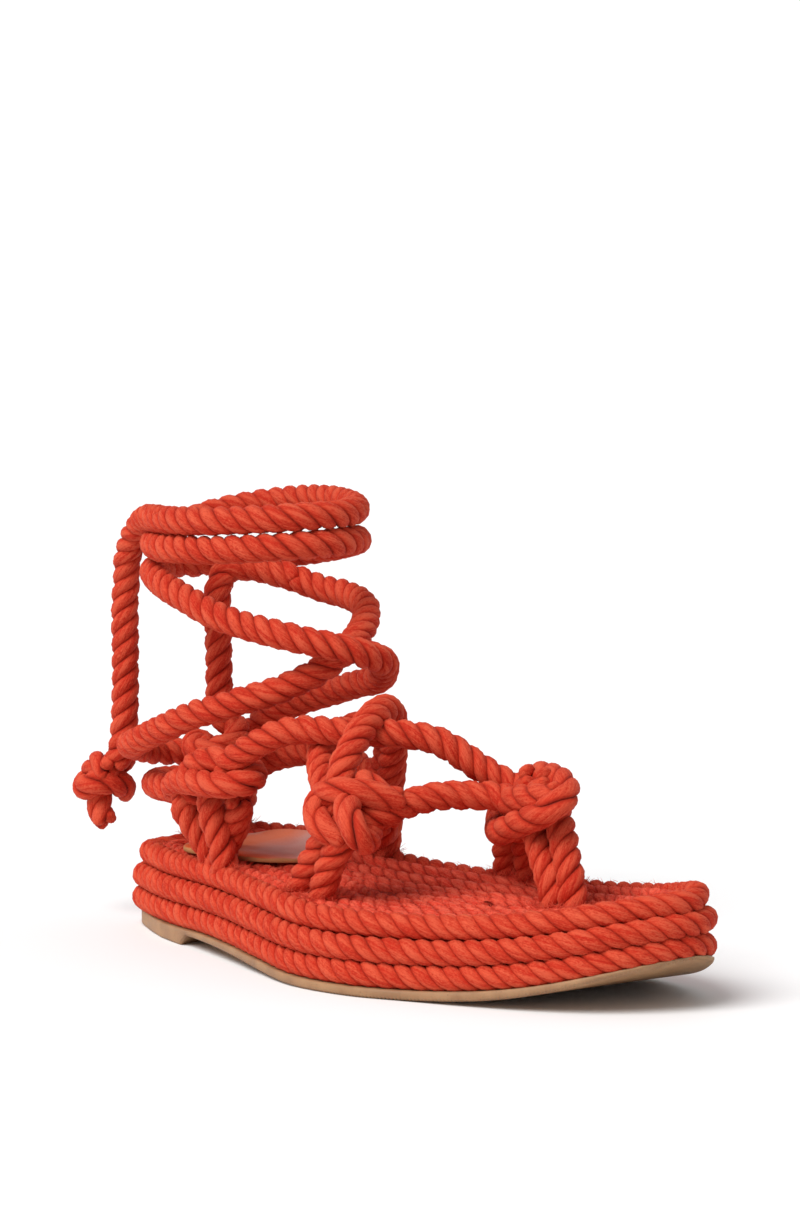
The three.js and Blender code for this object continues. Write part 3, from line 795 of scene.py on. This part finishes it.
fine_line, fine_run, fine_length = evenly(outline_curve(), step=RIB_PITCH / 4, closed=True)
fine_line, fine_run = even_count(fine_line), even_count(fine_run)
rib = np.abs((fine_run / fine_length * round(fine_length / RIB_PITCH)) % 1 - 0.5) * 2
rib *= RIB_DEPTH * ramp(fine_line[:, 0], *RIBS_FROM)
tuck = OUTSOLE_INSET + HEEL_TUCK * ramp(station_at(fine_line[:, 0]), *TUCK_SLOPE)
rubber = Bundle()
slab(rubber, fine_line, [
    # inset and height of each ring, from the floor up
    (tuck + 0.9, lambda ring: outsole_bottom(ring) + rib),
    (tuck + 0.2, lambda ring: outsole_bottom(ring) + 0.35 + rib),
    (tuck, lambda ring: outsole_bottom(ring) + 1.0),
    (tuck, lambda ring: bed_at(ring, OUTSOLE_THICKNESS) - 0.5),
    (tuck + 0.5, lambda ring: bed_at(ring, OUTSOLE_THICKNESS) - 0.15),
])
rubber.piece("rubber_outsole", "outsole", slot="rubber")

# %% [markdown]
# The heel rests on a thin leather pad that is glued to the coils. Its cut edge is rounded a little, and the
# coils under it show through as very low waves. It is skinned through rings that shrink towards its middle,
# above and below, so that both faces follow the hollow of the heel.

# %% Leather heel pad
PAD_LENGTH = 62.0
PAD_WIDTH = 41.0
PAD_CENTRE = np.array([-71.0, 5.0, 0.0])
PAD_POINTS = 160
PAD_TOP = 1.66
PAD_LIFT = 0.3                   # the glue under it
PAD_FACE = (0.94, 0.86, 0.74, 0.6, 0.45, 0.3, 0.15)      # sizes of the rings of a face
PAD_EDGE = (                     # size, height and crown of the rings of the cut edge
    (0.99, 0.0, 0.0),
    (1.0, 0.15, 0.0),
    (1.0, 1.2, 0.0),
    (0.99, 1.45, 0.4),
    (0.975, 1.6, 0.9),
)


def pad_outline():
    """Two half circles with straight sides between them."""
    radius = PAD_WIDTH / 2
    straight = PAD_LENGTH / 2 - radius
    angle = np.linspace(np.pi, 3 * np.pi, PAD_POINTS, endpoint=False)
    x = radius * np.cos(angle) + np.sign(np.cos(angle)) * straight
    return PAD_CENTRE + np.column_stack([x, radius * np.sin(angle), 0 * angle])


def pad_height(points, height):
    """Height of points on the pad; its upper side shows the coils as waves."""
    waves = 0.12 * np.cos(points[:, 1] * 2 * np.pi / LAYER) + 0.1 * np.sin(points[:, 0] * 0.13)
    return bed_at(points, FOOTBED) + PAD_LIFT + height + waves * (height > 1)


pad_line = even_count(evenly(pad_outline(), step=EDGE_STEP, closed=True)[0])
pad_rows = [(size, 0.0, 0.0) for size in PAD_FACE[::-1]]
pad_rows += PAD_EDGE
pad_rows += [(size, PAD_TOP, 1.0) for size in PAD_FACE]
pad_rings = []
for size, height, _ in pad_rows:
    ring = PAD_CENTRE + (pad_line - PAD_CENTRE) * size
    ring[:, 2] = pad_height(ring, height)
    pad_rings.append(ring)
pad = Bundle()
stack(pad, pad_rings, [crown for _, _, crown in pad_rows])
pad.piece("leather_pad", "heel_pad", slot="leather")

# %% [markdown]
# Cut or rubbed fibres stand up where the legs go into the footbed and all over the trodden coils. Hair
# particles would be quick to grow but are not part of the mesh. So each fibre is a thin closed
# spindle, bent a little, that casts a real shadow.

# %% A bundle of loose fibres
FIBRE_WIDTH = 0.085
FIBRE_BEND = 0.35
FIBRE_LEVELS = ((0.0, 1.0), (0.45, 0.9), (0.8, 0.6))     # how far up, and how thick there
FIBRE_CORNERS = (0, 2.094, 4.189)                        # thirds of a turn
FIBRE_FACES = [
    (2, 1, 0),
    (0, 1, 4, 3), (1, 2, 5, 4), (2, 0, 3, 5),
    (3, 4, 7, 6), (4, 5, 8, 7), (5, 3, 6, 8),
    (6, 7, 9), (7, 8, 9), (8, 6, 9),
]


print("faces of a fibre:", len(FIBRE_FACES))


def fibres(bundle, roots, ways, lengths, seed):
    """Bent spindles of three sides from root points in given directions."""
    shape = np.random.default_rng(seed)
    count = len(roots)
    ways = ways / np.linalg.norm(ways, axis=1)[:, None]
    bend = shape.normal(size=(count, 3)) * FIBRE_BEND
    side = np.cross(ways, shape.normal(size=(count, 3)))
    side /= np.linalg.norm(side, axis=1)[:, None]
    other = np.cross(ways, side)
    corners = []
    for share, thick in FIBRE_LEVELS:
        centre = roots + lengths[:, None] * (ways * share + bend * share**2)
        for turn in FIBRE_CORNERS:
            way = math.cos(turn) * side + math.sin(turn) * other
            corners.append(centre + FIBRE_WIDTH * thick * way)
    corners.append(roots + lengths[:, None] * (ways + bend))
    points = np.stack(corners, 1)
    index = bundle.add(points, points * 0.3, np.ones(points[..., 0].size)).reshape(count, -1)
    for face in FIBRE_FACES:
        bundle.faces += index[:, face].tolist()


# %% Fuzz at the legs
LEG_FIBRES = 260                 # round each leg
LEG_RING = (4.2, 7.2)            # how far from the middle of a leg they stand
LEG_MARGIN = FOOTBED_INSET + 3   # none stands nearer to the outline
LEG_ROOTS = (-1.8, 0.2)          # how high their roots lie
LEG_FIBRE_LENGTHS = (1.0, 3.4)
coarse_edge = edge_line[::3]
random = np.random.default_rng(11)
fuzz = Bundle()
for number, leg in enumerate(TOE_LEGS + INSTEP_LEGS + HEEL_LEGS):
    foot = np.array(on_last(leg)[0])
    foot[2] = bed_at(foot[None], FOOTBED)[0]
    turn = random.uniform(0, 2 * np.pi, LEG_FIBRES)
    out = np.column_stack([np.cos(turn), np.sin(turn), np.zeros(LEG_FIBRES)])
    roots = foot + out * random.uniform(*LEG_RING, LEG_FIBRES)[:, None]
    roots[:, 2] += random.uniform(*LEG_ROOTS, LEG_FIBRES)
    to_edge = np.linalg.norm(roots[:, None, :2] - coarse_edge[None, :, :2], axis=2).min(1)
    roots, out = roots[to_edge > LEG_MARGIN], out[to_edge > LEG_MARGIN]
    count = len(roots)
    ways = out * random.normal(0.2, 0.8, count)[:, None] + random.normal(size=(count, 3)) * 0.6
    ways[:, 2] = np.abs(ways[:, 2]) * 0.6 + 0.25
    fibres(fuzz, roots, ways, random.uniform(*LEG_FIBRE_LENGTHS, count), seed=number)
print(f"fibres at the legs: {fuzz.count // 10}")

# %% Fuzz on the trodden coils
BED_FIBRES = 9000                # strewn over a rectangle, of which those on the footbed are kept
BED_FIBRE_LENGTHS = (0.7, 2.0)
BED_ROOTS = (0.2, 1.6)           # how deep their roots lie
EDGE_MARGIN = 7
PAD_MARGIN = 1.5
spread = np.column_stack([random.uniform(-118, 122, BED_FIBRES), random.uniform(-44, 44, BED_FIBRES)])
gap = np.linalg.norm(spread[:, None] - coarse_edge[None, :, :2], axis=2)
closest = gap.argmin(1)
nearest = coarse_edge[closest, :2]
inward = moved_in(edge_line, 1.0)[::3][closest, :2] - nearest
inside = (gap.min(1) > EDGE_MARGIN) & (((spread - nearest) * inward).sum(1) > 0)
inside &= np.abs(spread[:, 1]) < np.abs(nearest[:, 1]) + 30
off_centre = np.abs(spread - PAD_CENTRE[:2]) - (PAD_LENGTH / 2 - PAD_WIDTH / 2, 0)
inside &= np.hypot(np.maximum(off_centre[:, 0], 0), off_centre[:, 1]) > PAD_WIDTH / 2 + PAD_MARGIN
spread = spread[inside]
count = len(spread)
roots = np.column_stack([spread, bed_at(spread, FOOTBED) - random.uniform(*BED_ROOTS, count)])
ways = random.normal(size=(count, 3)) * (1.0, 0.6, 0.25) + (0, 0, 0.35)
ways[:, 2] = np.abs(ways[:, 2])
fibres(fuzz, roots, ways, random.uniform(*BED_FIBRE_LENGTHS, count), seed=5)
fuzz.piece("footbed_fuzz")

# %% [markdown]
# A finish is written as sums: one class wraps a socket, so that an expression adds its own Math nodes. All
# other nodes come from one method. What is the same all over a surface is set on the shader itself. The
# nodes could be laid by hand in the editor, but a formula is easier to read and to change.

# %% Shader expressions
class Signal:
    """A socket in an expression of numbers."""

    def __init__(self, nodes, socket):
        self.nodes, self.socket = nodes, socket

    def __add__(self, other):
        return self.nodes.maths("ADD", self, other)

    def __rsub__(self, other):
        return self.nodes.maths("SUBTRACT", other, self)

    def __mul__(self, other):
        return self.nodes.maths("MULTIPLY", self, other)

    __radd__ = __add__
    __rmul__ = __mul__


class Nodes:
    """A node tree that grows by expressions."""

    def __init__(self, tree):
        self.tree = tree

    def node(self, kind, sockets, output=0, **settings):
        made = self.tree.nodes.new(kind)
        for key, value in settings.items():
            setattr(made, key, value)
        for key, value in sockets.items():
            if isinstance(value, Signal):
                self.tree.links.new(value.socket, made.inputs[key])
            else:
                made.inputs[key].default_value = value
        return Signal(self, made.outputs[output])

    def maths(self, operation, *values):
        return self.node("ShaderNodeMath", dict(enumerate(values)), operation=operation)

    def between(self, value, low, high, to_low=0.0, to_high=1.0):
        """Moves the range from low to high to another range, and stops at its ends."""
        return self.node("ShaderNodeMapRange", {"Value": value, "From Min": low, "From Max": high,
                                                "To Min": to_low, "To Max": to_high})


# %% A material that grows by expressions
MIX_FACTOR, MIX_A, MIX_B = 0, 6, 7       # the colour sockets of a Mix node
MIX_RESULT = 2


class Finish(Nodes):
    """A material; its keywords are sockets of the shader."""

    def __init__(self, name, **shader_values):
        self.material = bpy.data.materials.new(name)
        self.material.use_nodes = True
        super().__init__(self.material.node_tree)
        self.shader = next(node for node in self.tree.nodes if node.type == "BSDF_PRINCIPLED")
        for key, value in shader_values.items():
            self.shader.inputs[key.replace("_", " ")].default_value = value

    def into(self, name, value):
        self.tree.links.new(value.socket, self.shader.inputs[name])

    def attribute(self, name, output):
        return self.node("ShaderNodeAttribute", {}, output=output, attribute_name=name)

    def noise(self, place, scale, stretch=(1, 1, 1), detail=2.0, rough=0.5):
        stretched = self.node("ShaderNodeVectorMath", {0: place, 1: stretch}, operation="MULTIPLY")
        return self.node("ShaderNodeTexNoise", {"Vector": stretched, "Scale": scale, "Detail": detail,
                                                "Roughness": rough})

    def mix(self, factor, a, b):
        return self.node("ShaderNodeMix", {MIX_FACTOR: factor, MIX_A: a, MIX_B: b}, output=MIX_RESULT,
                         data_type="RGBA")

    def bump(self, height, distance):
        self.into("Normal", self.node("ShaderNodeBump", {"Height": height, "Distance": distance,
                                                         "Strength": 1.0}))


def rgb(red, green, blue):
    """A colour of 0 to 255 as the eye sees it, for a colour socket."""
    return tuple((c / 255 / 12.92 if c < 10 else ((c / 255 + 0.055) / 1.055) ** 2.4)
                 for c in (red, green, blue)) + (1.0,)


print("a middle grey of 128 is", round(rgb(128, 128, 128)[0], 3), "in a colour socket")


# %% [markdown]
# The rope is dyed through, a matte orange red. Between the strands its colour is painted darker, as painted
# shade where light hardly gets out. On the crowns it is paler, partly from rubbing and partly as a painted
# highlight. Fine fibres run along the strands as streaks in the colour and the bump. Short loose fibres
# catch the light as a soft sheen. The trodden rope of the footbed is the same finish in paler colours,
# because it is rubbed all over.

# %% Rope finish
# Painted shade: the dark red that the grooves between the strands are painted with.
GROOVE_SHADE_RED = rgb(88, 4, 5)
ROPE_BUMP = 0.00028              # metres


def rope_finish(name, dark, pale, blotch, crest, wear_and_highlight_share):
    """Three-strand rope; crest is the colour of its crowns, from wear and painted highlight; the share, how
    much shows.
    """
    rope = Finish(name, Sheen_Weight=0.14, Sheen_Roughness=0.5, Sheen_Tint=rgb(255, 150, 120),
                  Specular_IOR_Level=0.12)
    place = rope.attribute("strand_place", "Vector")
    crown = rope.attribute("crown", "Fac")
    streaks = rope.noise(place, scale=3.3, stretch=(1, 1, 0.12), detail=3.0, rough=0.65)
    yarns = rope.noise(place, scale=0.75, stretch=(1, 1, 0.03), detail=1.0)
    grain = rope.noise(place, scale=3.6, stretch=(1, 1, 0.45), detail=2.0, rough=0.6)
    blotches = rope.noise(place, scale=0.09)
    light = (rope.between(streaks, 0.32, 0.68) * 0.4 + rope.between(yarns, 0.35, 0.65) * 0.35
             + rope.between(grain, 0.32, 0.68) * 0.25)
    fibre = rope.mix(light, dark, pale)
    fibre = rope.mix(rope.between(blotches, 0.4, 0.7, 0.0, 0.45), fibre, blotch)
    # Painted shade: towards the grooves between strands the colour goes over into the dark groove red.
    shade = rope.mix(rope.between(crown, 0.62, 0.92), GROOVE_SHADE_RED, fibre)
    # Partly wear and partly a painted highlight: the crowns go paler, towards the crest colour.
    worn_and_highlight = rope.between(crown, 0.86, 1.0, 0.0, wear_and_highlight_share) * rope.between(light, 0.3, 0.65)
    rope.into("Base Color", rope.mix(worn_and_highlight, shade, crest))
    rope.into("Roughness", rope.between(streaks, 0.3, 0.7, 0.62, 0.84))
    rope.bump(rope.between(streaks, 0.3, 0.7) * 0.6 + yarns * 0.6 + grain * 0.5, ROPE_BUMP)
    return rope.material


finishes = {
    "rope": rope_finish("rope", dark=rgb(172, 25, 13), pale=rgb(226, 71, 41), blotch=rgb(198, 40, 19),
                        crest=rgb(236, 130, 95), wear_and_highlight_share=0.3),
    "trodden": rope_finish("trodden_rope", dark=rgb(212, 40, 26), pale=rgb(254, 92, 64),
                           blotch=rgb(166, 22, 13), crest=rgb(254, 140, 110), wear_and_highlight_share=0.36),
}
print("nodes in the rope finish:", len(finishes["rope"].node_tree.nodes))


# %% [markdown]
# The rubber is a caramel crepe, slightly cloudy, with small dark specks. Real crepe lets a little light in,
# which a touch of subsurface scattering gives, and has a satin surface that is rough in some places.

# %% Rubber finish
def rubber_finish():
    rubber = Finish("rubber", Specular_IOR_Level=0.35, Subsurface_Weight=0.06, Subsurface_Scale=0.002)
    place = rubber.attribute("strand_place", "Vector")
    cloud = rubber.noise(place, scale=0.12, detail=4.0)
    specks = rubber.between(rubber.noise(place, scale=1.6, detail=1.0), 0.68, 0.76)
    body = rubber.mix(rubber.between(cloud, 0.35, 0.65), rgb(144, 106, 74), rgb(166, 127, 91))
    rubber.into("Base Color", rubber.mix(specks * 0.5, body, rgb(104, 72, 46)))
    rubber.into("Roughness", rubber.between(cloud, 0.3, 0.7, 0.45, 0.62))
    rubber.bump(rubber.noise(place, scale=2.6, detail=3.0), 0.00012)
    return rubber.material


finishes["rubber"] = rubber_finish()
print("nodes in the rubber finish:", len(finishes["rubber"].node_tree.nodes))

# %% [markdown]
# The leather is a pale grained skin. Beside the outer legs and along its outer edge it turns orange: partly
# dye that it has taken up where it rubs against the rope, partly a painted reflection of the orange ropes
# close by. The orange could be a picture, but two soft ramps over the pad's own places, moved about by
# noise, do it without one. The camera looks almost along the pad, where even a little gloss turns into a
# white mirror, so its index of refraction is kept near 1.

# %% Leather finish
def leather_finish():
    leather = Finish("leather", IOR=1.02)
    place = leather.attribute("strand_place", "Vector")
    crown = leather.attribute("crown", "Fac")
    grain = leather.node("ShaderNodeTexVoronoi", {"Vector": place, "Scale": 1.1})
    cloud = leather.noise(place, scale=0.05, detail=3.0)
    skin = leather.mix(leather.between(cloud, 0.35, 0.65), rgb(212, 158, 148), rgb(224, 178, 168))
    along, across = (leather.node("ShaderNodeSeparateXYZ", {0: place}, output=axis) for axis in "XY")
    drift = leather.noise(place, scale=0.12, detail=3.0) * 9.0
    # Orange beside the outer legs and along the outer edge: partly dye from the rope, partly a painted
    # reflection of the orange ropes close by.
    legs_dye_and_reflection = leather.between(along + drift, -60.0, -74.0, 0.0, 0.85) * leather.between(along, -98.0, -90.0)
    edge_dye_and_reflection = leather.between(across + drift, 5.0, -7.0, 0.0, 0.92)
    skin = leather.mix(legs_dye_and_reflection, skin, rgb(224, 118, 76))
    skin = leather.mix(edge_dye_and_reflection, skin, rgb(224, 100, 52))
    leather.into("Base Color", leather.mix(1 - crown, skin, rgb(186, 134, 88)))
    leather.into("Roughness", leather.between(cloud, 0.3, 0.7, 0.34, 0.48))
    leather.bump(leather.between(grain, 0.1, 0.9), 0.00008)
    return leather.material


finishes["leather"] = leather_finish()
print("nodes in the leather finish:", len(finishes["leather"].node_tree.nodes))

# %% Giving each piece its finish
TRODDEN = ("footbed_coils", "footbed_fuzz")
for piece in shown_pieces():
    wanted = "trodden" if piece.name in TRODDEN else piece.get("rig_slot")
    piece.data.materials.clear()
    piece.data.materials.append(finishes[wanted])
    print(f"{piece.name}: {finishes[wanted].name}")

# %% [markdown]
# A catalogue picture stands on a white floor without an edge. A curved sheet of paper would do it too, but
# a very large plain floor looks the same from every side. Its white varies a little, like paper.

# %% Floor
FLOOR = 60.0                     # metres from its middle to a side, so that it has no edge in any view


def floor_finish():
    paper = Finish("studio_floor", Specular_IOR_Level=0.1)
    place = paper.node("ShaderNodeTexCoord", {}, output="Object")
    cloud = paper.noise(place, scale=2.0)
    paper.into("Base Color", paper.mix(cloud, rgb(246, 246, 246), rgb(252, 252, 252)))
    paper.into("Roughness", paper.between(cloud, 0.3, 0.7, 0.6, 0.75))
    return paper.material


floor_mesh = bpy.data.meshes.new("floor")
floor_corners = [(-FLOOR, -FLOOR, 0), (FLOOR, -FLOOR, 0), (FLOOR, FLOOR, 0), (-FLOOR, FLOOR, 0)]
floor_mesh.from_pydata(floor_corners, [], [(0, 1, 2, 3)])
floor_mesh.materials.append(floor_finish())
floor = bpy.data.objects.new("floor", floor_mesh)
bpy.context.scene.collection.objects.link(floor)
print(f"floor: {2 * FLOOR:.0f} m square")

# %% [markdown]
# The light is very soft. One broad lamp stands in front at the upper left, and the white surroundings fill
# the shadows from all sides. They are brighter where they are seen or mirrored than where they light the
# shoe, as paper that is lit by lamps of its own. Many area lamps would do the same with more to set.

# %% Lamp and surroundings
KEY_AZIMUTH = math.radians(8)
KEY_ELEVATION = math.radians(50)
KEY_ENERGY = 2.9
KEY_WIDTH = math.radians(40)
FILL_LIGHT = 0.42                # of the surroundings on the shoe
FILL_SEEN = 1.05                 # of the surroundings in the camera and in mirrored rays

key = bpy.data.objects.new("key", bpy.data.lights.new("key", "SUN"))
key.rotation_euler = Vector((math.sin(KEY_AZIMUTH) * math.cos(KEY_ELEVATION),
                             -math.cos(KEY_AZIMUTH) * math.cos(KEY_ELEVATION),
                             math.sin(KEY_ELEVATION))).to_track_quat("Z", "Y").to_euler()
key.data.energy = KEY_ENERGY
key.data.angle = KEY_WIDTH
bpy.context.scene.collection.objects.link(key)

world = bpy.data.worlds.new("studio")
world.use_nodes = True
sky = world.node_tree.nodes["Background"]
sky.inputs["Color"].default_value = (1, 1, 1, 1)
studio = Nodes(world.node_tree)
rays = [studio.node("ShaderNodeLightPath", {}, output=ray) for ray in ("Is Camera Ray", "Is Glossy Ray")]
fill = studio.between(studio.maths("MAXIMUM", *rays), 0.0, 1.0, FILL_LIGHT, FILL_SEEN)
world.node_tree.links.new(fill.socket, sky.inputs["Strength"])
bpy.context.scene.world = world
bpy.context.scene.view_settings.view_transform = "Standard"
